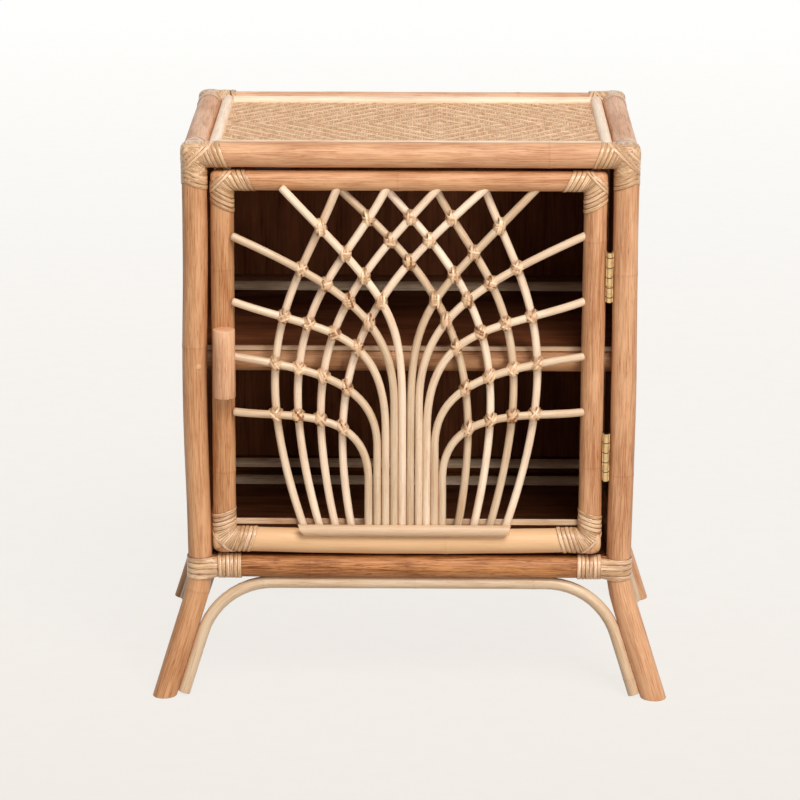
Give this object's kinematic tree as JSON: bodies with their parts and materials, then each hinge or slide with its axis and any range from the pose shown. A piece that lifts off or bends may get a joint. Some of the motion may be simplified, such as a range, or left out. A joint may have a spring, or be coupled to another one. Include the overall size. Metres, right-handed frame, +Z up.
{
  "type": "storage side table with door",
  "caption": "Rattan-pole side table: square cabinet on splayed feet with a shelf, woven top and a hinged door filled by a fan grille of bent canes.",
  "frame": {"origin": "on the floor, centred under the table", "axes": "+X to the right seen from the door, +Y to the back, +Z up"},
  "size_m": [0.5232, 0.3254, 0.5713],
  "materials": {
    "pole": "clear-lacquered rattan pole",
    "brown_pole": "stained rattan pole",
    "cane": "clear-lacquered cane",
    "peel": "glossy rattan peel",
    "stained_board": "dark stained board",
    "brass": "brass-plated",
    "magnet_case": "brown moulded case"
  },
  "bodies": {
    "cabinet": {"back_mouldings": "cane", "back_panel_lower": "stained_board", "back_panel_upper": "stained_board", "base_bindings_back": "peel", "base_bindings_front": "peel", "base_rail_back": "pole", "base_rail_front": "pole", "base_rail_left": "pole", "base_rail_right": "pole", "catch_magnet": "magnet_case", "floor_board": "stained_board", "floor_rail_back": "brown_pole", "hinge_leaves_frame": "brass", "hinge_pins": "brass", "leg_arch_back": "cane", "leg_arch_front": "cane", "leg_arch_left": "cane", "leg_arch_right": "cane", "post_back_left": "pole", "post_back_right": "pole", "post_front_left": "pole", "post_front_right": "pole", "shelf_board": "stained_board", "shelf_cleats": "cane", "shelf_edging": "cane", "shelf_rail_back": "brown_pole", "shelf_rail_front": "brown_pole", "side_panel_left": "stained_board", "side_panel_right": "stained_board", "top_bindings_back": "peel", "top_bindings_front": "peel", "top_board": "stained_board", "top_border_canes": "cane", "top_rail_back": "pole", "top_rail_front": "pole", "top_rail_left": "pole", "top_rail_right": "pole", "woven_top": "peel"},
    "door": {"catch_strike": "brass", "crossing_canes_left": "cane", "crossing_canes_right": "cane", "door_bindings_left": "peel", "door_bindings_right": "peel", "door_handle": "pole", "door_rail_bottom": "pole", "door_rail_top": "pole", "door_stile_left": "pole", "door_stile_right": "pole", "hinge_leaves_door": "brass", "lashings_left": "peel", "lashings_right": "peel", "lashings_top": "peel", "rising_canes_left": "cane", "rising_canes_right": "cane", "sill_backing_strip": "cane", "sill_strip": "cane"}
  },
  "joints": [
    {"name": "door_hinge", "type": "hinge", "parent": "cabinet", "child": "door", "pos_m": [0.196, -0.1395, 0.3445], "axis": [0, 0, 1], "range_deg": [0, 110]}
  ]
}
